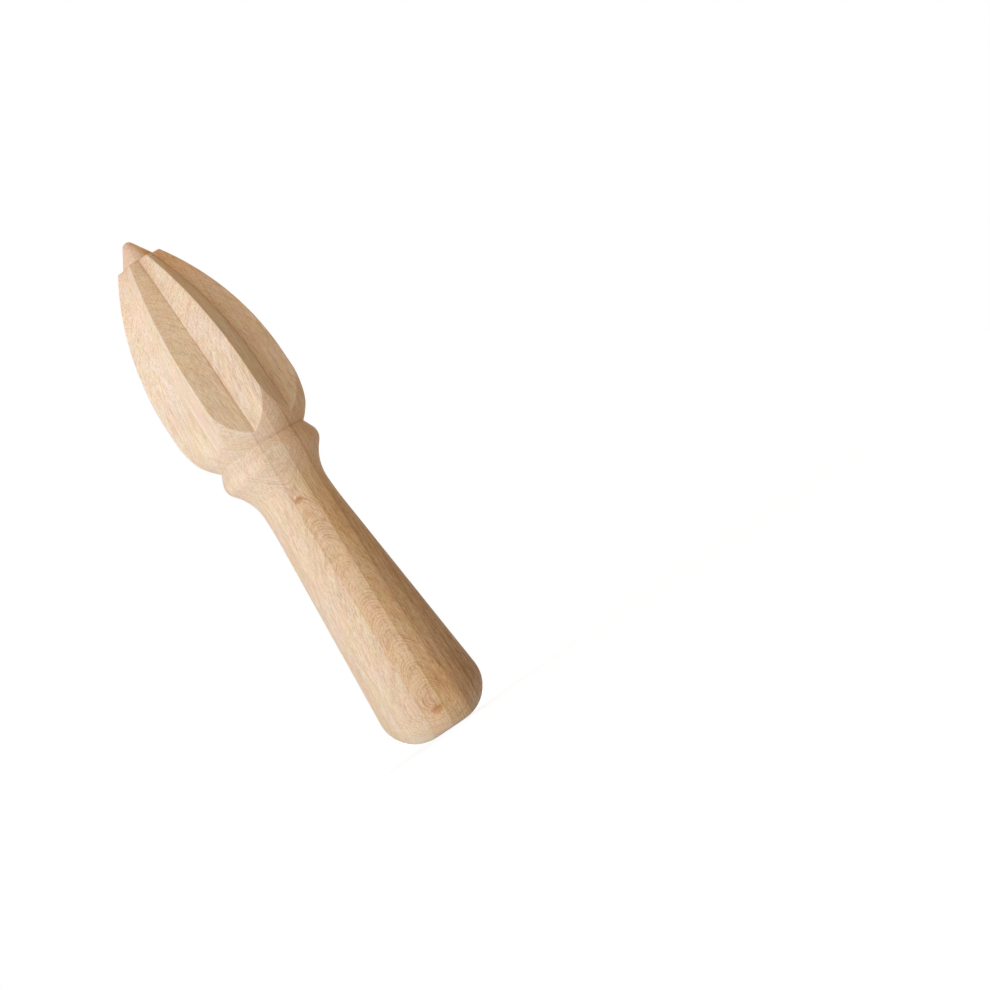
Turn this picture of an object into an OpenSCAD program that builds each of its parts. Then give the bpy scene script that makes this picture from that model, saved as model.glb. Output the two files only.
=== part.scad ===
// Wooden citrus reamer, turned and fluted from one piece of beech.
// It stands upright on its butt: the turning axis is Z and the butt's flat is at z = 0.

/* [Handle] */
// Largest diameter of the handle, just above the rounded butt
butt_d = 31.8; // [26:0.1:38]
// Radius that rounds the handle over into the flat of the butt
butt_round = 10.9; // [5:0.1:12]
// Diameter of the neck at its narrowest
neck_d = 21.3; // [16:0.1:26]
// Height of the narrowest place of the neck above the butt
neck_height = 78.2; // [60:0.1:110]
// Radius of the long curve that eases the neck into the straight flare of the handle
neck_ease = 100; // [40:1:160]

/* [Collar] */
// Diameter of the collar at its widest
collar_d = 31; // [28:0.1:34]
// Rise from the narrowest place of the neck to the widest place of the collar
collar_rise = 12.5; // [11:0.1:16]
// Radius of the collar's rounded bead
collar_round = 4.4; // [4:0.1:6]
// Depth of the bead below the collar's widest place, down to its lower edge
collar_lip = 2.3; // [1:0.1:4]
// Angle at which the collar tapers from its bead up to the groove under the head
collar_taper = 24; // [18:0.5:30]

/* [Head] */
// Diameter of the turned head at its belly, before the flutes are cut
head_d = 42.9; // [40:0.1:48]
// Rise from the widest place of the collar to the belly
belly_rise = 21.9; // [19:0.1:25]
// Radius of the rounded underside of the head, from the belly to the groove
base_round = 23.7; // [21:0.1:26]
// Radius of the turned nose, from the belly to the shoulder
nose_round = 95; // [85:1:120]
// Length of the nose from the belly to the flat shoulder
nose_length = 45.5; // [40:0.1:50]

/* [Flutes] */
// Number of flutes around the head
flute_count = 8; // [6:1:10]
// Diameter across the valleys of the flutes at the belly
valley_d = 33.7; // [31:0.1:36]
// Angle by which each wall of a flute leans back from the tangent at its valley
wall_lean = 18.4; // [12:0.1:24]
// Height above the belly where the valleys begin to curve in towards the nose
valley_start = 1.9; // [0:0.1:6]
// Radius of the curve that the flute walls follow towards the nose
valley_round = 97.5; // [96:0.5:120]

/* [Tip] */
// Diameter of the pointed tip where it stands on the shoulder
tip_d = 10.5; // [8:0.1:11]
// Height of the tip above the shoulder
tip_length = 6.9; // [5:0.1:10]
// Radius of the rounded point
point_round = 1.85; // [1:0.05:2.2]
// Radius of the fillet between the tip and the shoulder
tip_fillet = 0.6; // [0.2:0.05:0.8]

/* [Hidden] */
$fn = 128;
beech = [0.86, 0.70, 0.51];

// Heights of the stations along the axis
collar_z = neck_height + collar_rise;
belly_z = collar_z + belly_rise;
shoulder_z = belly_z + nose_length;
top_z = shoulder_z + tip_length;

// Radii of the stations
butt_r = butt_d / 2;
neck_r = neck_d / 2;
collar_r = collar_d / 2;
head_r = head_d / 2;
valley_r = valley_d / 2;
tip_r = tip_d / 2;

// Centres of the corner arc at the butt and of the long arc at the neck, as [radius, height]
butt_c = [butt_r - butt_round, butt_round];
ease_c = [neck_r + neck_ease, neck_height];

// The straight flare is tangent to both arcs, which lie on opposite sides of it
arc_gap = ease_c - butt_c;
flare = atan2(arc_gap[1], arc_gap[0]) - acos((butt_round + neck_ease) / norm(arc_gap));
flare_normal = [cos(flare), sin(flare)];
flare_low = butt_c + butt_round * flare_normal;
flare_high = ease_c - neck_ease * flare_normal;

// The bead's lower edge, and the cove that runs from there to the neck
lip_z = collar_z - collar_lip;
bead_x = collar_r - collar_round;
lip_r = bead_x + sqrt(collar_round ^ 2 - collar_lip ^ 2);
cove_rise = lip_z - neck_height;
cove_round = (cove_rise ^ 2 + (lip_r - neck_r) ^ 2) / (2 * (lip_r - neck_r));

// The taper leaves the bead along its tangent and ends inside the head
taper_low = [bead_x, collar_z] + collar_round * [cos(collar_taper), sin(collar_taper)];
taper_high = taper_low + collar_round * [-sin(collar_taper), cos(collar_taper)];

// The straight side of the tip touches the ball of its point
ball_rise = tip_length - point_round;
tip_slope = acos(point_round / norm([tip_r, ball_rise])) - atan2(ball_rise, tip_r);
tip_normal = [cos(tip_slope), sin(tip_slope)];
point_c = [0, top_z - point_round];
point_edge = point_c + point_round * tip_normal;
fillet_c = [tip_r + tip_fillet * (1 - sin(tip_slope)) / cos(tip_slope), shoulder_z + tip_fillet];
fillet_edge = fillet_c - tip_fillet * tip_normal;

// Distance of each flute wall from the axis along the belly, and how far the cutters reach
wall_r = valley_r * cos(wall_lean);
cut_low = collar_z;
cut_high = shoulder_z + tip_fillet;
cut_out = head_d;

// Part of a flat shape on the right of the axis, between two heights
module band(low, high) {
    intersection() {
        children();
        translate([0, low])
            square([head_d, high - low]);
    }
}

// Flat disc with its centre at a point [radius, height]
module disc(centre, radius) {
    translate(centre)
        circle(radius);
}

// Handle: flat butt, rounded corner, straight flare and the long curve into the neck
module handle_outline() {
    band(0, neck_height)
        disc(butt_c, butt_round);
    polygon([
        [0, 0],
        [butt_c[0], 0],
        butt_c,
        flare_low,
        flare_high,
        [0, flare_high[1]]
    ]);
    difference() {
        polygon([
            [0, flare_high[1]],
            flare_high,
            [flare_high[0], neck_height],
            [0, neck_height]
        ]);
        disc(ease_c, neck_ease);
    }
}

// Cove above the neck, the collar's bead and its taper, with a solid core behind them
module collar_outline() {
    difference() {
        polygon([
            [0, neck_height],
            [lip_r, neck_height],
            [lip_r, lip_z],
            [0, lip_z]
        ]);
        disc([neck_r + cove_round, neck_height], cove_round);
    }
    band(lip_z, taper_low[1])
        disc([bead_x, collar_z], collar_round);
    polygon([
        [0, lip_z],
        [bead_x, lip_z],
        [bead_x, collar_z],
        taper_low,
        taper_high,
        [0, taper_high[1]]
    ]);
}

// Turned head: rounded underside up to the belly, then the nose up to the shoulder
module head_outline() {
    band(collar_z, belly_z)
        disc([head_r - base_round, belly_z], base_round);
    band(belly_z, shoulder_z)
        disc([head_r - nose_round, belly_z], nose_round);
}

// Pointed tip: straight cone, ball at the point and a fillet at the shoulder
module tip_outline() {
    polygon([
        [0, shoulder_z],
        [tip_r, shoulder_z],
        point_edge,
        point_c
    ]);
    band(shoulder_z, top_z)
        disc(point_c, point_round);
    difference() {
        polygon([
            [0, shoulder_z],
            [fillet_c[0], shoulder_z],
            fillet_c,
            fillet_edge,
            [0, fillet_edge[1]]
        ]);
        disc(fillet_c, tip_fillet);
    }
}

// Blank as it leaves the lathe
module turned_blank() {
    rotate_extrude() {
        handle_outline();
        collar_outline();
        head_outline();
        tip_outline();
    }
}

// Everything outside one flute wall, which leans about the axis by the given angle.
// The wall runs straight along the belly and then follows an arc towards the nose.
module outside_wall(lean) {
    rotate([0, 0, lean])
        rotate([90, 0, 0])
            linear_extrude(height = 2 * cut_out, center = true)
                difference() {
                    translate([0, cut_low])
                        square([cut_out, cut_high - cut_low]);
                    translate([0, cut_low])
                        square([wall_r, belly_z + valley_start - cut_low]);
                    disc([wall_r - valley_round, belly_z + valley_start], valley_round);
                }
}

// V-shaped cutter whose valley faces along +X
module flute_cutter() {
    intersection() {
        outside_wall(wall_lean);
        outside_wall(-wall_lean);
    }
}

// The whole reamer: one solid piece of beech, with the first flute facing the front
module reamer() {
    color(beech)
        difference() {
            turned_blank();
            for (i = [0 : flute_count - 1])
                rotate([0, 0, i * 360 / flute_count - 90])
                    flute_cutter();
        }
}

reamer();
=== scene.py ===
"""Looks of a wooden citrus reamer: one turned and fluted piece of beech."""
import math

import bpy
import numpy as np
from mathutils import Matrix, Vector


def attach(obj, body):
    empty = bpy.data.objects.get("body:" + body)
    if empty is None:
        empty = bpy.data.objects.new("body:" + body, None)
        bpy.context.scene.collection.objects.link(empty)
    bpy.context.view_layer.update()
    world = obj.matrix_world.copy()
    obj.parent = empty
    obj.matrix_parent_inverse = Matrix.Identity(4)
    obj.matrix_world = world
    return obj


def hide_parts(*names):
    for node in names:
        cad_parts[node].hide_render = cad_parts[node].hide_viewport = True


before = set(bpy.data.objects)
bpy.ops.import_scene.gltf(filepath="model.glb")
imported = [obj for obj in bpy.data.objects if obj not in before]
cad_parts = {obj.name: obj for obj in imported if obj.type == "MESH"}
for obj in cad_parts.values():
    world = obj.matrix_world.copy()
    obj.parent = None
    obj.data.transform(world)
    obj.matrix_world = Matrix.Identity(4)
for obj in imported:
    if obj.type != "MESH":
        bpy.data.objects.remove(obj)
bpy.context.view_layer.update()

MM = 0.001

# Sizes of the turned outline, in millimetres, as the CAD part has them
BUTT_R = 15.9
BUTT_ROUND = 10.9
NECK_R = 10.65
NECK_Z = 78.2
NECK_EASE = 100.0
COLLAR_R = 15.5
COLLAR_Z = 90.7
COLLAR_ROUND = 4.4
COLLAR_LIP = 2.3
COLLAR_TAPER = math.radians(24)
BEAD_R = COLLAR_R - COLLAR_ROUND
HEAD_R = 21.45
BELLY_Z = 112.6
BASE_ROUND = 23.7
SHOULDER_Z = 158.1
TOP_Z = 165.0
TIP_R = 5.25
POINT_ROUND = 1.85
TIP_FILLET = 0.6

# Sizes of the flutes
FLUTES = 8
HALF_FLUTE = math.pi / FLUTES
VALLEY_R = 16.85
WALL_LEAN = math.radians(18.4)
VALLEY_Z = 114.5
VALLEY_ROUND = 97.5

# Easing that sandpaper leaves on sharp edges and in hollows
ARRIS_EASE = 0.30
VALLEY_EASE = 0.05
RUNOUT_EASE = 0.06
LIP_EASE = 1.0
GROOVE_EASE = 0.18
SHOULDER_EASE = 0.22

# Points along each stretch of the outline, from the butt to the point
BUTT_POINTS = 26
FLARE_POINTS = 12
EASE_POINTS = 12
COVE_POINTS = 22
LIP_POINTS = 9
BEAD_POINTS = 20
TAPER_POINTS = 8
GROOVE_POINTS = 7
UNDERSIDE_RINGS = 26
FLUTE_RINGS = 72
SHOULDER_RINGS = 6
FILLET_POINTS = 7
TIP_POINTS = 8
BALL_POINTS = 14

# Powers by which the rings crowd towards the height where the flutes run out, from below and above
BELOW_CROWDING = 1.8
ABOVE_CROWDING = 1.6

# Columns of the mesh across half a flute, in degrees from the valley and back from the arris
VALLEY_COLUMNS = [0.0, 0.2, 0.42, 0.7, 1.1, 1.7, 2.6]
ARRIS_COLUMNS = [3.0, 2.0, 1.3, 0.85, 0.56, 0.34, 0.16]
WALL_COLUMNS = 12

# An easing replaces the points nearer to its corner than this many times its reach
CLEARANCE = 1.05

# Height above the groove of the point that gives the groove's easing its upper direction
HEAD_START = 0.5

# Halvings that find the height of the groove
HALVINGS = 40

# Angle at which the last ring lies on the ball of the point, in degrees from the horizontal
LAST_RING_ANGLE = 86


def smooth_min(a, b, k):
    """Lower of two surfaces, with their crossing rounded over a height k."""
    h = np.maximum(k - np.abs(a - b), 0.0) / k
    return np.minimum(a, b) - h * h * k / 4


def smooth_max(a, b, k):
    """Higher of two surfaces, with their crossing rounded over a height k."""
    return -smooth_min(-a, -b, k)


def arc(centre, radius, start, end, count):
    """Points on an arc in the (radius, height) plane, angles in degrees from the outward direction."""
    angles = np.radians(np.linspace(start, end, count))
    return [(centre[0] + radius * math.cos(a), centre[1] + radius * math.sin(a)) for a in angles]


def line(start, end, count):
    """Evenly spaced points between two points, without the last."""
    return [tuple(np.add(start, np.subtract(end, start) * i / count)) for i in range(count)]


def eased(before, corner, after, reach, count):
    """Two runs of points and their corner, eased by a curve that starts a reach away from the corner."""
    before = [p for p in before if math.dist(p, corner) > CLEARANCE * reach]
    after = [p for p in after if math.dist(p, corner) > CLEARANCE * reach]
    ends = []
    for neighbour in (before[-1], after[0]):
        step = np.subtract(neighbour, corner)
        ends.append(corner + step / np.linalg.norm(step) * reach)
    curve = []
    for t in np.linspace(0.0, 1.0, count):
        curve.append(tuple((1 - t) ** 2 * ends[0] + 2 * t * (1 - t) * np.array(corner) + t * t * ends[1]))
    return before + curve + after


def turned_underside(z):
    """Radius of the turned head below its belly, and at its belly for the heights above."""
    return HEAD_R - BASE_ROUND + np.sqrt(BASE_ROUND ** 2 - np.minimum(z - BELLY_Z, 0.0) ** 2)


def wall_distance(z):
    """Distance of a flute's wall from the axis at a height."""
    drop = VALLEY_ROUND - np.sqrt(VALLEY_ROUND ** 2 - np.maximum(z - VALLEY_Z, 0.0) ** 2)
    return VALLEY_R * math.cos(WALL_LEAN) - drop


def fluted_radius(z, offset):
    """Radius of the fluted surface at an angle from the nearest valley, eased at arris and valley."""
    wall = wall_distance(z)
    near = wall / np.cos(np.abs(offset) + WALL_LEAN)
    far = wall / np.cos(WALL_LEAN - np.abs(offset))
    own = smooth_max(near, far, VALLEY_EASE)
    neighbour = wall / np.cos(2 * HALF_FLUTE - np.abs(offset) + WALL_LEAN)
    return smooth_min(own, neighbour, ARRIS_EASE)


def head_radius(z, offset):
    """Radius of the finished head: turned underside or flute wall, whichever lies deeper."""
    return smooth_min(turned_underside(z), fluted_radius(z, offset), RUNOUT_EASE)


def runout_height(offset):
    """Height at which a flute's wall runs out on the turned underside."""
    radius = VALLEY_R * math.cos(WALL_LEAN) / np.cos(np.abs(offset) + WALL_LEAN)
    return BELLY_Z - np.sqrt(BASE_ROUND ** 2 - (radius - HEAD_R + BASE_ROUND) ** 2)


def column_offsets():
    """Angles of the mesh columns across one flute, close together at the valley and the arrises."""
    near = np.radians(VALLEY_COLUMNS)
    edge = HALF_FLUTE - np.radians(ARRIS_COLUMNS)
    middle = np.linspace(near[-1], edge[0], WALL_COLUMNS)[1:-1]
    right = np.concatenate([near, middle, edge, [HALF_FLUTE]])
    return np.concatenate([-right[:0:-1], right[:-1]])


def handle_outline():
    """Handle from the middle of the butt: rounded corner, straight flare and the long curve to the neck."""
    corner = (BUTT_R - BUTT_ROUND, BUTT_ROUND)
    ease = (NECK_R + NECK_EASE, NECK_Z)
    gap = np.subtract(ease, corner)
    swing = math.acos((BUTT_ROUND + NECK_EASE) / np.linalg.norm(gap))
    flare = math.degrees(math.atan2(gap[1], gap[0]) - swing)
    butt = arc(corner, BUTT_ROUND, -90, flare, BUTT_POINTS)
    ease_arc = arc(ease, -NECK_EASE, flare, 0, EASE_POINTS)
    return butt + line(butt[-1], ease_arc[0], FLARE_POINTS)[1:] + ease_arc[:-1]


def cove_outline():
    """Hollow from the neck up to the collar's lower edge."""
    lip_r = BEAD_R + math.sqrt(COLLAR_ROUND ** 2 - COLLAR_LIP ** 2)
    rise, reach = COLLAR_Z - COLLAR_LIP - NECK_Z, lip_r - NECK_R
    cove_round = (rise ** 2 + reach ** 2) / (2 * reach)
    cove_end = -math.degrees(math.asin(rise / cove_round))
    return arc((NECK_R + cove_round, NECK_Z), -cove_round, 0, cove_end, COVE_POINTS)


def groove_point():
    """Where the collar's taper meets the underside of the head."""
    low, high = COLLAR_Z, COLLAR_Z + 2 * COLLAR_ROUND
    for _ in range(HALVINGS):
        z = (low + high) / 2
        taper = BEAD_R + (COLLAR_ROUND - (z - COLLAR_Z) * math.sin(COLLAR_TAPER)) / math.cos(COLLAR_TAPER)
        if taper > turned_underside(z):
            low = z
        else:
            high = z
    return taper, z


def collar_outline():
    """Collar above its lower edge: the rounded bead, and the taper up to just below the groove."""
    lip_angle = -math.degrees(math.asin(COLLAR_LIP / COLLAR_ROUND))
    bead = arc((BEAD_R, COLLAR_Z), COLLAR_ROUND, lip_angle, math.degrees(COLLAR_TAPER), BEAD_POINTS)
    return bead[1:-1] + line(bead[-1], groove_point(), TAPER_POINTS)


def lower_outline():
    """Turned outline from the middle of the butt up to the groove under the head."""
    cove = cove_outline()
    groove = groove_point()
    start = groove[1] + HEAD_START
    above = (float(turned_underside(start)), start)
    points = handle_outline() + eased(cove[:-1], cove[-1], collar_outline(), LIP_EASE, LIP_POINTS)
    return eased(points, groove, [above], GROOVE_EASE, GROOVE_POINTS)[:-1]


def tip_outline():
    """Turned outline of the tip, from the fillet on the shoulder to the point."""
    rise = TOP_Z - SHOULDER_Z - POINT_ROUND
    slope = math.degrees(math.acos(POINT_ROUND / math.hypot(TIP_R, rise)) - math.atan2(rise, TIP_R))
    tilt = math.radians(slope)
    fillet = (TIP_R + TIP_FILLET * (1 - math.sin(tilt)) / math.cos(tilt), SHOULDER_Z + TIP_FILLET)
    root = arc(fillet, TIP_FILLET, 270, 180 + slope, FILLET_POINTS)
    ball = arc((0, TOP_Z - POINT_ROUND), POINT_ROUND, slope, LAST_RING_ANGLE, BALL_POINTS)
    return root + line(root[-1], ball[0], TIP_POINTS)[1:] + ball


def head_rings(start, offsets):
    """Rings of the head, from the groove up to where the shoulder's edge begins."""
    end = runout_height(offsets)
    top = SHOULDER_Z - SHOULDER_EASE
    heights = []
    for t in np.linspace(0.0, 1.0, UNDERSIDE_RINGS)[1:]:
        heights.append(start + (1 - (1 - t) ** BELOW_CROWDING) * (end - start))
    for t in np.linspace(0.0, 1.0, FLUTE_RINGS)[1:]:
        heights.append(end + t ** ABOVE_CROWDING * (top - end))
    return [(head_radius(z, offsets), z) for z in heights]


def shoulder_rings(root, offsets):
    """Rings over the shoulder's eased edge, and in over its flat to the root of the tip."""
    rings = []
    for t in np.linspace(0.0, 1.0, SHOULDER_RINGS)[1:]:
        angle = t * math.pi / 2
        inset = SHOULDER_EASE * (1 - math.cos(angle))
        height = SHOULDER_Z - SHOULDER_EASE + SHOULDER_EASE * math.sin(angle)
        rings.append((fluted_radius(height, offsets) - inset, np.full_like(offsets, height)))
    edge = rings[-1][0]
    for t in np.linspace(0.0, 1.0, SHOULDER_RINGS)[1:-1]:
        rings.append((edge + t * (root - edge), np.full_like(offsets, SHOULDER_Z)))
    return rings


def round_rings(outline, offsets):
    """Round rings through the points of a turned outline."""
    return [(np.full_like(offsets, r), np.full_like(offsets, z)) for r, z in outline]


def mesh_rings():
    """Radius and height of every ring of the reamer, one value a column, from the butt to the point."""
    offsets = np.tile(column_offsets(), FLUTES)
    low = lower_outline()
    tip = tip_outline()
    head = head_rings(low[-1][1], offsets) + shoulder_rings(tip[0][0], offsets)
    return round_rings(low, offsets) + head + round_rings(tip, offsets)


def mesh_faces(rings, columns):
    """Quads between the rings, and triangles to the middle of the butt and to the point."""
    faces = []
    last = (rings - 1) * columns
    for low in range(0, last, columns):
        high = low + columns
        for c in range(columns):
            d = (c + 1) % columns
            faces.append((low + c, low + d, high + d, high + c))
    bottom, point = rings * columns, rings * columns + 1
    for c in range(columns):
        d = (c + 1) % columns
        faces.append((bottom, d, c))
        faces.append((last + c, last + d, point))
    return faces


def build_reamer():
    """The whole reamer as one closed mesh."""
    rings = mesh_rings()
    offsets = column_offsets()
    valleys = np.repeat(np.arange(FLUTES) * 2 * HALF_FLUTE - math.pi / 2, len(offsets))
    angles = valleys + np.tile(offsets, FLUTES)
    radius = np.array([r for r, z in rings])
    height = np.array([z for r, z in rings])
    points = np.stack([radius * np.cos(angles), radius * np.sin(angles), height], -1).reshape(-1, 3)
    points = np.vstack([points, [0, 0, 0], [0, 0, TOP_Z]]) * MM
    mesh = bpy.data.meshes.new("reamer_body")
    mesh.from_pydata(points.tolist(), [], mesh_faces(len(rings), len(angles)))
    mesh.update()
    mesh.shade_smooth()
    piece = bpy.data.objects.new("reamer_body", mesh)
    bpy.context.scene.collection.objects.link(piece)
    return piece


class Nodes:
    """Short ways to add shader nodes to one node tree."""

    def __init__(self, tree):
        self.tree = tree
        tree.nodes.clear()

    def add(self, kind, **settings):
        node = self.tree.nodes.new(kind)
        for name, value in settings.items():
            setattr(node, name, value)
        return node

    def join(self, source, socket):
        """Links a socket, or sets the socket's own value when the source is a number or a colour."""
        if isinstance(source, bpy.types.NodeSocket):
            self.tree.links.new(source, socket)
        else:
            socket.default_value = source

    def math(self, operation, a, b=0.0, c=0.0):
        node = self.add("ShaderNodeMath", operation=operation)
        for source, socket in zip((a, b, c), node.inputs):
            self.join(source, socket)
        return node.outputs[0]

    def product(self, first, *others):
        for other in others:
            first = self.math("MULTIPLY", first, other)
        return first

    def remainder(self, share):
        """What a share leaves of one."""
        return self.math("SUBTRACT", 1.0, share)

    def sway(self, value, noise, reach):
        """Value moved by a noise, at most half the reach to either side."""
        return self.math("MULTIPLY_ADD", self.math("SUBTRACT", noise, 0.5), reach, value)

    def vector(self, x, y, z):
        node = self.add("ShaderNodeCombineXYZ")
        for source, socket in zip((x, y, z), node.inputs):
            self.join(source, socket)
        return node.outputs[0]

    def scaled(self, vector, scale):
        node = self.add("ShaderNodeVectorMath", operation="MULTIPLY")
        self.join(vector, node.inputs[0])
        node.inputs[1].default_value = scale
        return node.outputs[0]

    def length(self, vector):
        node = self.add("ShaderNodeVectorMath", operation="LENGTH")
        self.join(vector, node.inputs[0])
        return node.outputs["Value"]

    def noise(self, vector, field):
        """Noise from 0 to 1, by a field's scale, detail and roughness."""
        scale, detail, roughness = field
        node = self.add("ShaderNodeTexNoise")
        self.join(self.scaled(vector, scale), node.inputs["Vector"])
        node.inputs["Scale"].default_value = 1.0
        node.inputs["Detail"].default_value = detail
        node.inputs["Roughness"].default_value = roughness
        return node.outputs["Fac"]

    def range(self, value, low, high, to_low=0.0, to_high=1.0):
        """Value moved from one range to another, and held at the ends."""
        node = self.add("ShaderNodeMapRange")
        self.join(value, node.inputs["Value"])
        node.inputs["From Min"].default_value = low
        node.inputs["From Max"].default_value = high
        node.inputs["To Min"].default_value = to_low
        node.inputs["To Max"].default_value = to_high
        return node.outputs["Result"]

    def ramp(self, value, stops):
        """Ramp through (place, level) stops, where a level is a grey or a colour."""
        node = self.add("ShaderNodeValToRGB")
        self.join(value, node.inputs[0])
        elements = node.color_ramp.elements
        while len(elements) < len(stops):
            elements.new(0.5)
        for element, (place, level) in zip(elements, stops):
            element.position = place
            element.color = (*level, 1.0) if isinstance(level, tuple) else (level, level, level, 1.0)
        return node.outputs[0]

    def mix(self, factor, a, b, blend="MIX"):
        node = self.add("ShaderNodeMix", data_type="RGBA", blend_type=blend)
        self.join(factor, node.inputs[0])
        self.join(a, node.inputs[6])
        self.join(b, node.inputs[7])
        return node.outputs[2]

    def toned(self, colour, factor, tone):
        """Colour multiplied by a tone, as far as the factor says."""
        return self.mix(factor, colour, tone, "MULTIPLY")

    def mix_shaders(self, factor, a, b):
        node = self.add("ShaderNodeMixShader")
        self.join(factor, node.inputs[0])
        self.join(a, node.inputs[1])
        self.join(b, node.inputs[2])
        return node.outputs[0]


# Grain: how far the fibres lean in x and y for every millimetre up, measured from GRAIN_Z
GRAIN_Z = 103.0
GRAIN_LEAN_X = 0.0413
GRAIN_LEAN_Y = -0.092

# Fields of noise in wood space: scale for each millimetre in x, y and z, detail and roughness
SLOW_WAVER = ((0.05, 0.05, 0.012), 1.0, 0.5)
FINE_WAVER = ((0.8, 0.8, 0.04), 3.0, 0.6)
HEART_WAVER = ((0.25, 0.25, 0.05), 2.0, 0.5)
RAY_SWING = ((0.20, 0.6, 0.16), 3.0, 0.55)
RAY_UNEVEN = ((0.24, 3.2, 0.20), 2.0, 0.5)
RAY_PATCH = ((0.20, 1.3, 0.15), 2.0, 0.5)
BROAD_RAY = ((0.18, 4.6, 0.16), 2.0, 0.6)
FIBRE = ((3.8, 3.8, 0.06), 3.0, 0.6)
GRAIN = ((2.4, 2.4, 0.035), 3.0, 0.6)
THREAD = ((2.6, 2.6, 0.022), 2.0, 0.5)
PORE = ((4.2, 4.2, 0.34), 2.0, 0.6)
STREAK = ((0.9, 0.9, 0.012), 3.0, 0.55)
WARM = ((0.55, 0.55, 0.03), 3.0, 0.6)
CLOUD = ((0.12, 0.12, 0.05), 2.0, 0.5)
GOLDEN = ((0.34, 0.34, 0.12), 2.0, 0.5)
ROSY = ((-0.31, 0.29, -0.14), 2.0, 0.5)

# The same for the growth layers, measured across the rings, and for specks in the piece's own space
LAYER = ((2.2, 0.12, 0.012), 3.0, 0.65)
SPECK = ((2.4, 2.4, 2.4), 3.0, 0.75)

# Span over which the slow and the fine waver move the rings, in millimetres
SLOW_SWAY = 1.0
FINE_SWAY = 0.38

# Marks of the flutes end this far below the shoulder, in millimetres
SHOULDER_MARGIN = 0.1

# Every EDGE says where a mark sets in and where it is full. Two more numbers give its shares there.
PORE_EDGE = (0.58, 0.70)


class Wood:
    """Places in the block of wood, in millimetres, and the fields of noise that several looks share."""

    def __init__(self, n):
        self.n = n
        coordinates = n.add("ShaderNodeTexCoord")
        self.position = n.scaled(coordinates.outputs["Object"], (1 / MM, 1 / MM, 1 / MM))
        parts = n.add("ShaderNodeSeparateXYZ")
        n.join(self.position, parts.inputs[0])
        self.x, self.y, self.z = parts.outputs
        self.grain_x = self.straightened(self.x, GRAIN_LEAN_X)
        self.grain_y = self.straightened(self.y, GRAIN_LEAN_Y)
        self.space = n.vector(self.grain_x, self.grain_y, self.z)
        across = n.sway(self.grain_x, self.noise(SLOW_WAVER), SLOW_SWAY)
        self.across = n.sway(across, self.noise(FINE_WAVER), FINE_SWAY)
        self.fibre = self.noise(FIBRE)
        self.grain = self.noise(GRAIN)
        self.pore = n.range(self.noise(PORE), *PORE_EDGE)
        self.speck = n.noise(self.position, SPECK)
        self.angle = n.math("ARCTAN2", self.x, n.math("MULTIPLY", self.y, -1.0))
        self.turn = n.math("PINGPONG", self.angle, HALF_FLUTE)
        radius = n.length(n.vector(self.x, self.y, 0.0))
        self.from_valley = n.math("MULTIPLY", self.turn, radius)
        self.below_shoulder = n.math("LESS_THAN", self.z, SHOULDER_Z - SHOULDER_MARGIN)

    def straightened(self, side, lean):
        """Sideways place in wood space, where the fibres run straight up."""
        return self.n.math("MULTIPLY_ADD", self.z, -lean, self.n.math("ADD", side, lean * GRAIN_Z))

    def noise(self, field):
        """Noise in wood space."""
        return self.n.noise(self.space, field)


# Annual rings: where each boundary lies across the grain, and how much darker its late wood is
RING_EDGES = [
    (-18.6, 0.2), (-13.2, 0.28), (-8.6, 0.4), (-1.0, 0.6), (5.15, 0.55),
    (9.4, 1.0), (13.0, 0.5), (15.1, 0.5), (17.0, 0.6)
]
RING_SPAN = 24.0
RING_ALONG = [(0.0, 1.0), (99.0, 1.0), (114.0, 0.35), (165.0, 0.35)]
LATE_SHARE = 0.55

# Half the width of a boundary, and the distance behind it at which this rest of its tone is left
BOUNDARY_HALF = 0.07
RECOVERY = 0.75
RECOVERY_REST = 0.45

# Near the butt the rings on the right bend outwards: heights, and places across with the bend there
LOW_EDGE = (20.0, 10.0)
BEND_EDGE = (6.4, 8.4, 0.0, 1.9)


def ring_stops():
    """Ramp stops: each boundary steps to dark, and the tone soon recovers behind it."""
    stops = []
    for edge, dark in RING_EDGES:
        stops.append((edge - BOUNDARY_HALF, 0.0))
        stops.append((edge + BOUNDARY_HALF, dark))
        stops.append((edge + RECOVERY, RECOVERY_REST * dark))
    return stops


def placed(stops, low, high):
    """Ramp stops moved from millimetres to the ramp's own 0 to 1."""
    return [((x - low) / (high - low), level) for x, level in stops]


def ring_place(wood, low_down):
    """Place across the rings, from 0 on the left to 1 on the right."""
    bend = wood.n.product(low_down, wood.n.range(wood.across, *BEND_EDGE))
    return wood.n.range(wood.n.math("SUBTRACT", wood.across, bend), -RING_SPAN, RING_SPAN)


def late_wood(wood, place):
    """Share of late wood: dark behind each ring's boundary, and weaker in the head."""
    across = wood.n.ramp(place, placed(ring_stops(), -RING_SPAN, RING_SPAN))
    along = wood.n.ramp(wood.n.range(wood.z, 0.0, TOP_Z), placed(RING_ALONG, 0.0, TOP_Z))
    return wood.n.product(across, along, LATE_SHARE)


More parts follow.
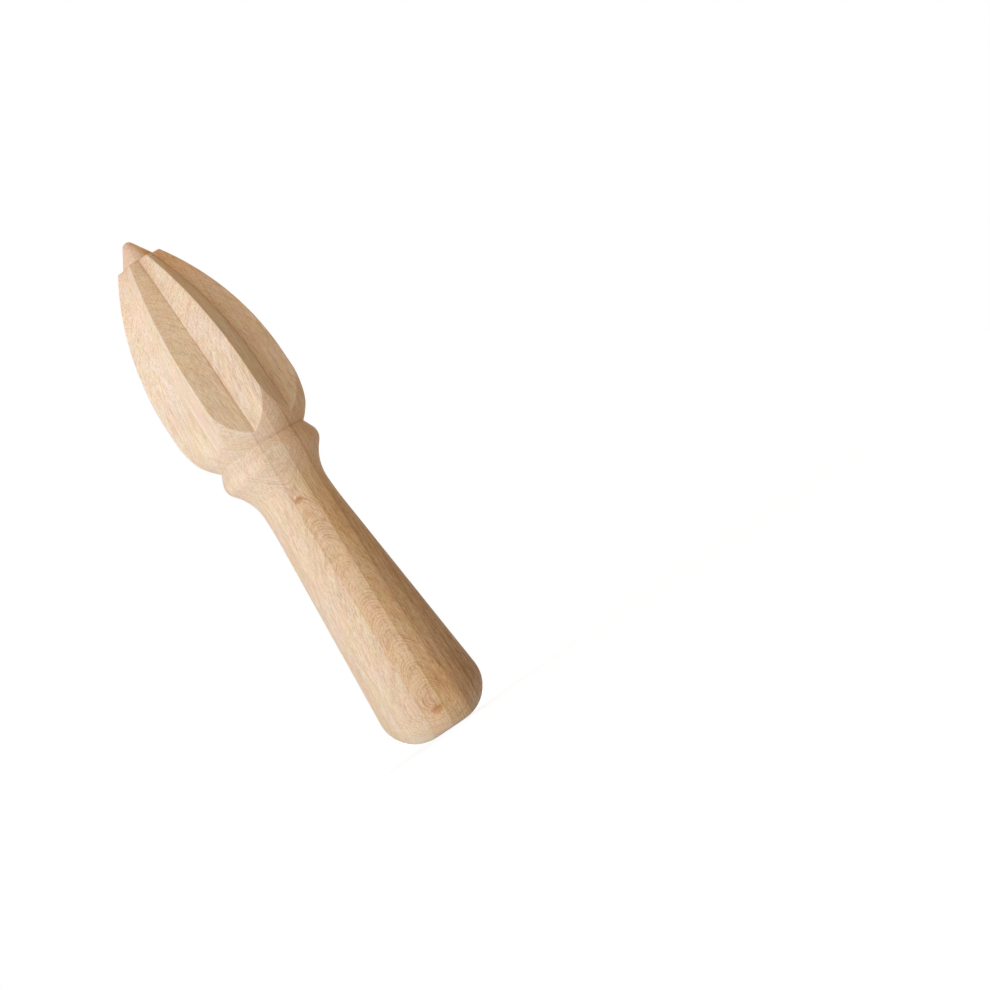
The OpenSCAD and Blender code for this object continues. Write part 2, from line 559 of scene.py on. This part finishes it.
# Browner heart wood, partly painted shade on the right: its tint across the rings, and how it fades along
# the piece towards the head
HEART_AND_SHADE_ACROSS = [
    (-14.0, (0.93, 0.92, 0.91)), (-9.0, (0.95, 0.94, 0.93)), (-7.0, (0.98, 0.97, 0.95)),
    (-4.5, (0.95, 0.91, 0.86)), (-1.1, (0.95, 0.90, 0.845)), (-0.9, (0.965, 0.865, 0.755)),
    (5.0, (0.93, 0.82, 0.69)), (5.2, (0.82, 0.685, 0.50)), (9.2, (0.81, 0.69, 0.52)),
    (9.6, (0.745, 0.65, 0.55)), (12.6, (0.70, 0.61, 0.525)), (13.6, (0.63, 0.545, 0.465)),
    (20.0, (0.55, 0.495, 0.47))
]
HEART_ALONG = [
    (0.0, 1.0), (14.0, 1.0), (30.0, 0.84), (50.0, 0.84),
    (68.0, 0.84), (84.0, 0.45), (98.0, 0.15), (125.0, 0.04)
]

# Span over which that fade wavers in height, and the gain that turns the darkness of the tint into depth
HEART_SWAY = 14.0
HEART_GAIN = 2.3


def heart_wood_and_shade(wood, place):
    """Tint of the heart wood with its painted shade, how strongly it shows at this height, and its depth
    from its darkness.
    """
    height = wood.n.range(wood.n.sway(wood.z, wood.noise(HEART_WAVER), HEART_SWAY), 0.0, TOP_Z)
    share = wood.n.ramp(height, placed(HEART_ALONG, 0.0, TOP_Z))
    tint = wood.n.ramp(place, placed(HEART_AND_SHADE_ACROSS, -RING_SPAN, RING_SPAN))
    channels = wood.n.add("ShaderNodeSeparateColor")
    wood.n.join(tint, channels.inputs[0])
    return tint, share, wood.n.product(wood.n.remainder(channels.outputs[1]), HEART_GAIN, share)


# Flute walls: their edge at the run-out in millimetres, and their softness at arris and valley in radians
WALL_EDGE = (-0.1, 0.4)
ARRIS_INSIDE = 0.004
ARRIS_OUTSIDE = 0.008
VALLEY_SOFTNESS = 0.02


def flute_walls(wood):
    """Masks of the front flute, its left wall, the first wall behind the right arris and all behind it."""
    n = wood.n
    share = n.math("DIVIDE", wood.turn, HALF_FLUTE)
    low, high = float(runout_height(0.0)), float(runout_height(HALF_FLUTE))
    foot = n.math("MULTIPLY_ADD", n.product(share, share), high - low, low)
    cut = n.product(n.range(n.math("SUBTRACT", wood.z, foot), *WALL_EDGE), wood.below_shoulder)
    inside = HALF_FLUTE - ARRIS_INSIDE
    outside = HALF_FLUTE + ARRIS_OUTSIDE
    valley = 2 * HALF_FLUTE
    front = n.product(cut, n.range(n.math("ABSOLUTE", wood.angle), outside, inside))
    front_left = n.product(front, n.range(wood.angle, ARRIS_INSIDE, -ARRIS_INSIDE))
    right = n.product(cut, n.range(wood.angle, inside, outside))
    beyond = n.product(right, n.range(wood.angle, valley - VALLEY_SOFTNESS, valley + VALLEY_SOFTNESS))
    shaded = n.product(right, n.remainder(beyond))
    return front, front_left, shaded, beyond


# Painted shade on the right side of the collar and the head, which is weaker beyond the first valley there
FAR_SHADE_TONE = (0.82, 0.73, 0.70, 1.0)
FAR_EDGE = (5.0, 10.0, 0.0, 0.7)
BEYOND_LOSS = 0.5


def far_shade_share(wood, heart_share, front, shaded, beyond):
    """Share of the painted shade on the right of the collar and the head, without the walls in front."""
    n = wood.n
    far = n.range(wood.across, *FAR_EDGE)
    walls = n.math("MAXIMUM", front, shaded)
    weaker = n.math("MULTIPLY_ADD", beyond, -BEYOND_LOSS, 1.0)
    return n.product(far, n.remainder(heart_share), n.remainder(walls), weaker)


# Butt: painted shade over its low end, with a darker strip of it on its far right,
# and painted bounce light as a pale strip between two of the rings
BUTT_SHADE_TONE = (0.945, 0.935, 0.91, 1.0)
BUTT_EDGE = (20.0, 8.0)
BUTT_DARK_SHADE = (0.85, 0.81, 0.79, 1.0)
DARK_EDGE = (10.6, 11.8)
BUTT_PALE_LIGHT = (1.08, 1.12, 1.17, 1.0)
PALE_LEFT_EDGE = (4.9, 5.4)
PALE_RIGHT_EDGE = (10.2, 9.2)
PALE_LOW_EDGE = (13.0, 9.0)


def with_butt_light_and_shade(wood, colour, low_down):
    """Colour with the painted shade and light of the handle's low end."""
    n = wood.n
    dark = n.product(low_down, n.range(wood.across, *DARK_EDGE))
    sides = n.product(n.range(wood.across, *PALE_LEFT_EDGE), n.range(wood.across, *PALE_RIGHT_EDGE))
    colour = n.toned(colour, n.range(wood.z, *BUTT_EDGE), BUTT_SHADE_TONE)
    colour = n.toned(colour, dark, BUTT_DARK_SHADE)
    return n.toned(colour, n.product(sides, n.range(wood.z, *PALE_LOW_EDGE)), BUTT_PALE_LIGHT)


# Plain wood, with painted light that makes it paler towards the top, and the late wood of the rings
LIGHT_WOOD = (0.865, 0.78, 0.725, 1.0)
LIT_TOP_WOOD = (0.99, 0.885, 0.835, 1.0)
TOP_EDGE = (118.0, 156.0)
LATE_WOOD = (0.60, 0.41, 0.255, 1.0)

# Painted tones on two flute walls: golden bounce light on the left one in front, darker shade on the first
# behind the right arris
FRONT_LEFT_SHADE_TONE = (1.0, 0.985, 0.93, 1.0)
SHADED_TONE = (0.88, 0.90, 0.985, 1.0)


def ground_colour(wood):
    """Colour of the wood with its painted light and shade but without its fine figure, the depth of its
    heart wood and the far side's share.
    """
    n = wood.n
    low_down = n.range(wood.z, *LOW_EDGE)
    place = ring_place(wood, low_down)
    tint, heart_share, heart = heart_wood_and_shade(wood, place)
    front, front_left, shaded, beyond = flute_walls(wood)
    far = far_shade_share(wood, heart_share, front, shaded, beyond)
    plain = n.mix(n.range(wood.z, *TOP_EDGE), LIGHT_WOOD, LIT_TOP_WOOD)
    colour = n.mix(late_wood(wood, place), plain, LATE_WOOD)
    colour = n.toned(colour, heart_share, tint)
    # Painted shade on the right side and on two flute walls, one of which gets a golden painted bounce
    # light
    colour = n.toned(colour, far, FAR_SHADE_TONE)
    colour = n.toned(colour, front_left, FRONT_LEFT_SHADE_TONE)
    colour = n.toned(colour, shaded, SHADED_TONE)
    return with_butt_light_and_shade(wood, colour, low_down), heart, far


# Rays: distance from sheet to sheet in millimetres, how far the sheets wander in radians of their swing,
# and how unevenly they show
RAY_PITCH = 0.18
RAY_WANDER = 11.0
RAY_SWAY = 4.0

# Rays: edges of a sheet and of the patches with sheets, and their depth from the left to the middle, with
# what the heart wood adds
SHEET_EDGE = (-0.2, 1.2)
PATCH_EDGE = (0.38, 0.60)
RAY_EDGE = (-17.0, -6.0, 0.08, 0.32)
RAY_IN_HEART = 0.45


def thin_rays(wood, heart):
    """Medullary rays: thin sheets square to y, which show as arcs in front and as strokes on the flutes."""
    n = wood.n
    turn = n.math("MULTIPLY", wood.grain_y, 2 * math.pi / RAY_PITCH)
    turn = n.math("MULTIPLY_ADD", wood.noise(RAY_SWING), RAY_WANDER, turn)
    sheet = n.range(n.sway(n.math("SINE", turn), wood.noise(RAY_UNEVEN), RAY_SWAY), *SHEET_EDGE)
    patch = n.range(wood.noise(RAY_PATCH), *PATCH_EDGE)
    depth = n.math("MULTIPLY_ADD", heart, RAY_IN_HEART, n.range(wood.x, *RAY_EDGE))
    return n.product(sheet, patch, depth)


# Growth layers: edges of a layer, and its depth in the heart wood and on the far side
LAYER_EDGE = (0.50, 0.58)
LAYER_HEART_EDGE = (0.50, 0.78, 0.14, 0.60)
LAYER_FAR = 0.65


def growth_layers(wood, heart, far):
    """Fine dark layers along the rings, strongest in the heart wood and on the far side."""
    n = wood.n
    layer = n.range(n.noise(n.vector(wood.across, wood.grain_y, wood.z), LAYER), *LAYER_EDGE)
    depth = n.math("MAXIMUM", n.range(heart, *LAYER_HEART_EDGE), n.math("MULTIPLY", far, LAYER_FAR))
    return n.product(layer, depth)


# Tones of the figure
RAY_TONE = (0.70, 0.53, 0.37, 1.0)
PORE_TONE = (0.52, 0.36, 0.23, 1.0)
WARM_TONE = (1.0, 0.975, 0.925, 1.0)

# Edges of the other marks over their noise
STREAK_EDGE = (0.35, 0.70, 0.0, 0.08)
WARM_EDGE = (0.40, 0.60)
GRAIN_EDGE = (0.46, 0.66, 0.0, 0.10)
FIBRE_EDGE = (0.46, 0.62, 0.0, 0.32)
BROAD_EDGE = (0.51, 0.60, 0.0, 0.25)
CLOUD_EDGE = (0.35, 0.70, 0.0, 0.12)
SPECK_EDGE = (0.44, 0.62, 0.0, 0.30)
THREAD_EDGE = (0.58, 0.62)

# Depth of threads and pores in the sapwood, and how much deeper they are in the heart
THREAD_DEPTH = 0.24
THREAD_IN_HEART = 0.35
PORE_DEPTH = 0.17
PORE_IN_HEART = 0.30


def with_figure(wood, colour, heart, far):
    """Colour with the wood's growth layers, streaks, fibres, rays, threads, pores and specks."""
    n = wood.n
    thread_depth = n.math("MULTIPLY_ADD", heart, THREAD_IN_HEART, THREAD_DEPTH)
    thread = n.product(n.range(wood.noise(THREAD), *THREAD_EDGE), thread_depth)
    pore = n.product(wood.pore, n.math("MULTIPLY_ADD", heart, PORE_IN_HEART, PORE_DEPTH))
    colour = n.toned(colour, growth_layers(wood, heart, far), RAY_TONE)
    colour = n.mix(n.range(wood.noise(STREAK), *STREAK_EDGE), colour, LATE_WOOD)
    colour = n.toned(colour, n.range(wood.noise(WARM), *WARM_EDGE), WARM_TONE)
    colour = n.toned(colour, n.range(wood.grain, *GRAIN_EDGE), RAY_TONE)
    colour = n.toned(colour, n.range(wood.fibre, *FIBRE_EDGE), RAY_TONE)
    colour = n.toned(colour, n.range(wood.noise(BROAD_RAY), *BROAD_EDGE), RAY_TONE)
    colour = n.toned(colour, thin_rays(wood, heart), RAY_TONE)
    colour = n.toned(colour, thread, RAY_TONE)
    colour = n.toned(colour, pore, PORE_TONE)
    colour = n.toned(colour, n.range(wood.noise(CLOUD), *CLOUD_EDGE), RAY_TONE)
    return n.toned(colour, n.range(wood.speck, *SPECK_EDGE), RAY_TONE)


# Hues between which the wood drifts in soft spots
COOL_HUE = (1.0, 1.006, 1.065, 1.0)
GOLDEN_HUE = (1.0, 1.006, 0.955, 1.0)
GREEN_HUE = (0.975, 1.017, 1.0, 1.0)
ROSY_HUE = (1.025, 0.993, 1.0, 1.0)
HUE_EDGE = (0.35, 0.65)


def with_hues(wood, colour):
    """Colour that drifts softly between cool and golden, and between greenish and rosy."""
    for field, low_hue, high_hue in ((GOLDEN, COOL_HUE, GOLDEN_HUE), (ROSY, GREEN_HUE, ROSY_HUE)):
        hue = wood.n.mix(wood.n.range(wood.noise(field), *HUE_EDGE), low_hue, high_hue)
        colour = wood.n.toned(colour, 1.0, hue)
    return colour


# Dark flecks where broad rays come out at the surface: place and half-sizes in millimetres
FLECKS = [((-0.35, -10.9, 76.4), (1.45, 1.2, 0.95)), ((-0.7, -15.2, 6.6), (1.9, 1.6, 1.15))]
FLECK_TONE = (0.78, 0.61, 0.44, 1.0)

# Depth of a fleck from its middle outwards, and the place along those stops where its half-sizes lie
FLECK_STOPS = [(0.0, 0.85), (0.25, 0.95), (0.38, 0.75), (0.60, 0.0)]
FLECK_RIM = 0.5


def with_flecks(wood, colour):
    """Colour with the soft lens-shaped flecks."""
    n = wood.n
    for place, half_sizes in FLECKS:
        shift = n.add("ShaderNodeVectorMath", operation="SUBTRACT")
        n.join(wood.position, shift.inputs[0])
        shift.inputs[1].default_value = place
        shape = n.scaled(shift.outputs[0], tuple(1 / v for v in half_sizes))
        depth = n.ramp(n.math("MULTIPLY", n.length(shape), FLECK_RIM), FLECK_STOPS)
        colour = n.toned(colour, depth, FLECK_TONE)
    return colour


# Tip: a rosier tone from just below the shoulder upwards
POINT_TONE = (0.985, 0.92, 0.92, 1.0)
POINT_EDGE = (SHOULDER_Z - 0.2, SHOULDER_Z + 0.5)

# Painted shade as brown blotches on the right of the tip, deeper at its root, and on the right of the
# shoulder
POINT_SHADE_BROWN = (0.88, 0.73, 0.58, 1.0)
BROWN_EDGE = (1.6, 3.6)
ROOT_EDGE = (SHOULDER_Z + 3.0, SHOULDER_Z + 0.8)
TOP_RIGHT_SHADE = (0.90, 0.74, 0.64, 1.0)
SHOULDER_SHADE_EDGE = (4.2, 5.6)
SHOULDER_SHADE_LOW_EDGE = (140.0, 157.0)
BLOTCH_SWAY = 5.0


def with_tip(wood, colour):
    """Colour with the rosier tip and with painted shade as brown blotches on the right near the top."""
    n = wood.n
    tip = n.range(wood.z, *POINT_EDGE)
    blotch = n.sway(wood.x, wood.speck, BLOTCH_SWAY)
    tip_shade = n.product(tip, n.range(blotch, *BROWN_EDGE))
    shoulder_shade = n.product(n.range(blotch, *SHOULDER_SHADE_EDGE), n.range(wood.z, *SHOULDER_SHADE_LOW_EDGE))
    colour = n.toned(colour, tip, POINT_TONE)
    colour = n.toned(colour, tip_shade, POINT_SHADE_BROWN)
    colour = n.toned(colour, n.product(tip_shade, n.range(wood.z, *ROOT_EDGE)), POINT_SHADE_BROWN)
    return n.toned(colour, shoulder_shade, TOP_RIGHT_SHADE)


# Height of the lowest point of every valley, above which its marks set in
VALLEY_FOOT = float(runout_height(0.0))

# Painted shade as a dark line at the bottom of every flute, weaker on the left
VALLEY_SHADE_TONE = (0.84, 0.76, 0.66, 1.0)
LINE_EDGE = (0.30, 0.10)
LINE_LOW_EDGE = (VALLEY_FOOT + 0.4, VALLEY_FOOT + 3.0)
LINE_LEFT_EDGE = (-6.0, -2.0, 0.2, 1.0)


def valley_shade_line(wood):
    """Mask of the painted shade as a narrow dark line at the bottom of every flute."""
    n = wood.n
    near = n.product(n.range(wood.from_valley, *LINE_EDGE), n.range(wood.z, *LINE_LOW_EDGE))
    return n.product(near, n.range(wood.x, *LINE_LEFT_EDGE), wood.below_shoulder)


# Painted shade as a soft darker band beside the valleys: in front only near the top, on the right all along
BAND_SHADE_TONE = (0.87, 0.80, 0.78, 1.0)
BAND_EDGE = (2.2, 0.0)
BAND_LOW_EDGE = (VALLEY_FOOT + 1.0, VALLEY_FOOT + 8.0)
BAND_LEFT_EDGE = (-6.0, -3.0)
BAND_RIGHT_EDGE = (4.2, 5.8)
FRONT_BAND_EDGE = (138.0, 152.0)
RIGHT_BAND_EDGE = (114.0, 136.0, 0.55, 1.0)
RIGHT_BAND_END = (140.0, 150.0, 1.0, 0.3)


def valley_shade_band(wood):
    """Mask of the painted shade as a soft darker band beside the valleys."""
    n = wood.n
    near = n.product(n.range(wood.from_valley, *BAND_EDGE), n.range(wood.z, *BAND_LOW_EDGE))
    near = n.product(near, wood.below_shoulder)
    right = n.range(wood.x, *BAND_RIGHT_EDGE)
    front_share = n.product(n.range(wood.z, *FRONT_BAND_EDGE), n.remainder(right))
    right_share = n.product(n.range(wood.z, *RIGHT_BAND_EDGE), n.range(wood.z, *RIGHT_BAND_END), right)
    return n.product(near, n.math("ADD", front_share, right_share), n.range(wood.x, *BAND_LEFT_EDGE))


# Painted shade as a dark line in the groove under the head, which sets in towards the right
GROOVE_SHADE_TONE = (0.90, 0.86, 0.80, 1.0)
GROOVE_EDGE = (0.45, 0.10)
GROOVE_SIDE_EDGE = (-5.0, 5.0)


def groove_shade_line(wood):
    """Mask of the painted shade as a dark line in the groove under the head."""
    distance = wood.n.math("ABSOLUTE", wood.n.math("SUBTRACT", wood.z, groove_point()[1]))
    return wood.n.product(wood.n.range(distance, *GROOVE_EDGE), wood.n.range(wood.x, *GROOVE_SIDE_EDGE))


# Surface: roughness over the fibres, and gloss
ROUGH_EDGE = (0.3, 0.7, 0.58, 0.74)
GLOSS = 0.18

# Fine relief: how high fibres, grain and pores stand, its strength, and its depth in metres
FIBRE_RELIEF = 0.5
GRAIN_RELIEF = -0.5
PORE_RELIEF = -0.7
RELIEF_STRENGTH = 0.5
RELIEF_DEPTH = 0.00008


def relief(wood):
    """Normal of the surface with its fine relief: raised fibres, sunk grain and pores."""
    n = wood.n
    height = n.math("MULTIPLY_ADD", wood.pore, PORE_RELIEF, n.math("MULTIPLY", wood.fibre, FIBRE_RELIEF))
    height = n.math("MULTIPLY_ADD", wood.grain, GRAIN_RELIEF, height)
    bump = n.add("ShaderNodeBump")
    bump.inputs["Strength"].default_value = RELIEF_STRENGTH
    bump.inputs["Distance"].default_value = RELIEF_DEPTH
    n.join(height, bump.inputs["Height"])
    return bump.outputs[0]


def beech_material():
    """Bare sanded beech as one solid block of wood: rings, rays and fibres run through the piece, with some
    light and shade painted into its colour.
    """
    material = bpy.data.materials.new("beech")
    material.use_nodes = True
    n = Nodes(material.node_tree)
    wood = Wood(n)
    colour, heart, far = ground_colour(wood)
    colour = with_hues(wood, with_figure(wood, colour, heart, far))
    colour = with_tip(wood, with_flecks(wood, colour))
    # Painted shade in the flute valleys, beside them and in the groove under the head
    colour = n.toned(colour, valley_shade_line(wood), VALLEY_SHADE_TONE)
    colour = n.toned(colour, valley_shade_band(wood), BAND_SHADE_TONE)
    colour = n.toned(colour, groove_shade_line(wood), GROOVE_SHADE_TONE)
    shader = n.add("ShaderNodeBsdfPrincipled")
    n.join(colour, shader.inputs["Base Color"])
    n.join(n.range(wood.fibre, *ROUGH_EDGE), shader.inputs["Roughness"])
    n.join(relief(wood), shader.inputs["Normal"])
    shader.inputs["Specular IOR Level"].default_value = GLOSS
    output = n.add("ShaderNodeOutputMaterial")
    n.join(shader.outputs[0], output.inputs["Surface"])
    return material


# Surround that fills the shade, and the white that the camera sees instead
FILL_COLOUR = (1.02, 0.745, 0.36, 1.0)
FILL_LEVEL = 0.495
WHITE = (1.0, 1.0, 1.0, 1.0)
WHITE_LEVEL = 1.0


def shown_white(n):
    """True for rays that show the background itself: seen directly, reflected or through glass."""
    path = n.add("ShaderNodeLightPath")
    seen = n.math("MAXIMUM", path.outputs["Is Camera Ray"], path.outputs["Is Transmission Ray"])
    return n.math("MAXIMUM", seen, path.outputs["Is Glossy Ray"])


def background(n, colour, strength):
    """Surround of one colour."""
    node = n.add("ShaderNodeBackground")
    node.inputs["Color"].default_value = colour
    node.inputs["Strength"].default_value = strength
    return node.outputs[0]


def build_world():
    """Soft even surround that fills the shade, shown to the camera as plain white."""
    world = bpy.data.worlds.new("studio")
    bpy.context.scene.world = world
    world.use_nodes = True
    n = Nodes(world.node_tree)
    fill = background(n, FILL_COLOUR, FILL_LEVEL)
    white = background(n, WHITE, WHITE_LEVEL)
    output = n.add("ShaderNodeOutputWorld")
    n.join(n.mix_shaders(shown_white(n), fill, white), output.inputs["Surface"])


# Floor: its size in metres, its colour, and the darker one under its own brightness that shows the shadow
FLOOR_SIZE = 6.0
FLOOR_COLOUR = (0.80, 0.79, 0.78, 1.0)
SHADOW_COLOUR = (0.38, 0.41, 0.45, 1.0)

# Own brightness of the floor as the camera sees it: distance in metres near and far, and level there
GLOW_EDGE = (0.12, 0.55, 0.765, 0.93)
GLOW_COLOUR = (0.95, 0.98, 1.04, 1.0)


def matt(n, colour):
    """Matt surface of one colour."""
    node = n.add("ShaderNodeBsdfDiffuse")
    node.inputs["Color"].default_value = colour
    return node.outputs[0]


def floor_material():
    """Pale matt floor, which the camera sees nearly white with a faint shadow."""
    material = bpy.data.materials.new("floor_white")
    material.use_nodes = True
    n = Nodes(material.node_tree)
    glow = n.add("ShaderNodeEmission")
    glow.inputs["Color"].default_value = GLOW_COLOUR
    distance = n.length(n.add("ShaderNodeTexCoord").outputs["Object"])
    n.join(n.range(distance, *GLOW_EDGE), glow.inputs["Strength"])
    bright = n.add("ShaderNodeAddShader")
    n.join(matt(n, SHADOW_COLOUR), bright.inputs[0])
    n.join(glow.outputs[0], bright.inputs[1])
    output = n.add("ShaderNodeOutputMaterial")
    surface = n.mix_shaders(shown_white(n), matt(n, FLOOR_COLOUR), bright.outputs[0])
    n.join(surface, output.inputs["Surface"])
    return material


def build_floor():
    """Plain pale floor under the butt. It looks white, with the reamer's faint soft shadow."""
    mesh = bpy.data.meshes.new("floor")
    half = FLOOR_SIZE / 2
    corners = [(-half, -half, 0), (half, -half, 0), (half, half, 0), (-half, half, 0)]
    mesh.from_pydata(corners, [], [(0, 1, 2, 3)])
    mesh.materials.append(floor_material())
    floor = bpy.data.objects.new("floor", mesh)
    bpy.context.scene.collection.objects.link(floor)


# Lamps: azimuth in degrees (0 in front, 90 on the right), distance, height, sides, the height on the axis
# that they look at, power and colour. A low key on the front left, a weak lamp high on the right, one that
# lies on the floor under the butt, and one for the far side.
LAMPS = [
    ("key", -45, 0.60, 0.10, (0.60, 0.14), 0.10, 2.70, (0.885, 0.975, 1.07)),
    ("side", 72, 0.22, 0.30, (0.16, 0.16), 0.12, 0.03, (1.0, 0.66, 0.42)),
    ("under", 62, 0.010, 0.0001, (0.044, 0.044), 10.0, 0.0021, (0.80, 1.0, 1.1)),
    ("behind", 172, 1.1, 0.55, (0.5, 0.5), 0.085, 6.0, (1.0, 0.97, 0.94))
]


def build_lamp(name, azimuth, distance, height, sides, aim, power, colour):
    """Soft rectangular lamp that the camera doesn't see."""
    data = bpy.data.lights.new(name, "AREA")
    data.shape = "RECTANGLE"
    data.size, data.size_y = sides
    data.energy = power
    data.color = colour
    lamp = bpy.data.objects.new(name, data)
    turn = math.radians(azimuth)
    lamp.location = (distance * math.sin(turn), -distance * math.cos(turn), height)
    towards = Vector((0, 0, aim)) - lamp.location
    lamp.rotation_mode = "QUATERNION"
    lamp.rotation_quaternion = towards.to_track_quat("-Z", "Y")
    lamp.visible_camera = False
    bpy.context.scene.collection.objects.link(lamp)


# Picture: its size in pixels, the pixel where the axis is ANCHOR_Z millimetres up, and its scale
IMAGE_SIZE = 990
ANCHOR_PIXEL = (289.0, 486.9)
ANCHOR_Z = 81.8
MM_PER_PIXEL = 0.2821

# Camera: lean of the axis in the picture, turn about the axis, and its distance and height in metres
AXIS_LEAN = math.radians(34.0)
VALLEY_TURN = math.radians(2.4)
CAMERA_DISTANCE = 1.0
CAMERA_HEIGHT = 0.010
SENSOR_WIDTH = 36.0
CLIP_START = 0.002


def build_camera():
    """Rolled camera that looks a little upwards, with the reamer left of the picture's centre."""
    anchor = Vector((0, 0, ANCHOR_Z * MM))
    scale = MM_PER_PIXEL * MM
    left = (IMAGE_SIZE / 2 - ANCHOR_PIXEL[0]) * scale
    up = (IMAGE_SIZE / 2 - ANCHOR_PIXEL[1]) * scale
    sink = left * math.sin(AXIS_LEAN) + up * math.cos(AXIS_LEAN)
    tilt = math.asin((anchor.z - CAMERA_HEIGHT - sink) / CAMERA_DISTANCE)
    turn = -VALLEY_TURN - math.atan2(left * math.cos(AXIS_LEAN), CAMERA_DISTANCE)
    back = Vector((math.sin(turn) * math.cos(tilt), -math.cos(turn) * math.cos(tilt), -math.sin(tilt)))
    level = Vector((math.cos(turn), math.sin(turn), 0))
    upright = back.cross(level)
    right = math.cos(AXIS_LEAN) * level - math.sin(AXIS_LEAN) * upright
    above = math.sin(AXIS_LEAN) * level + math.cos(AXIS_LEAN) * upright
    data = bpy.data.cameras.new("camera")
    data.sensor_width = SENSOR_WIDTH
    data.lens = SENSOR_WIDTH * CAMERA_DISTANCE / (IMAGE_SIZE * scale)
    data.clip_start = CLIP_START
    camera = bpy.data.objects.new("camera", data)
    camera.matrix_world = Matrix((right, above, back)).transposed().to_4x4()
    camera.location = anchor + back * CAMERA_DISTANCE + right * left - above * up
    bpy.context.scene.collection.objects.link(camera)
    bpy.context.scene.camera = camera


def main():
    """Builds camera, light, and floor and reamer."""
    bpy.context.scene.view_settings.view_transform = "Standard"
    build_camera()
    build_world()
    for lamp in LAMPS:
        build_lamp(*lamp)
    build_floor()
    reamer = build_reamer()
    reamer.data.materials.append(beech_material())
    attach(reamer, "root")
    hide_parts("reamer")


main()
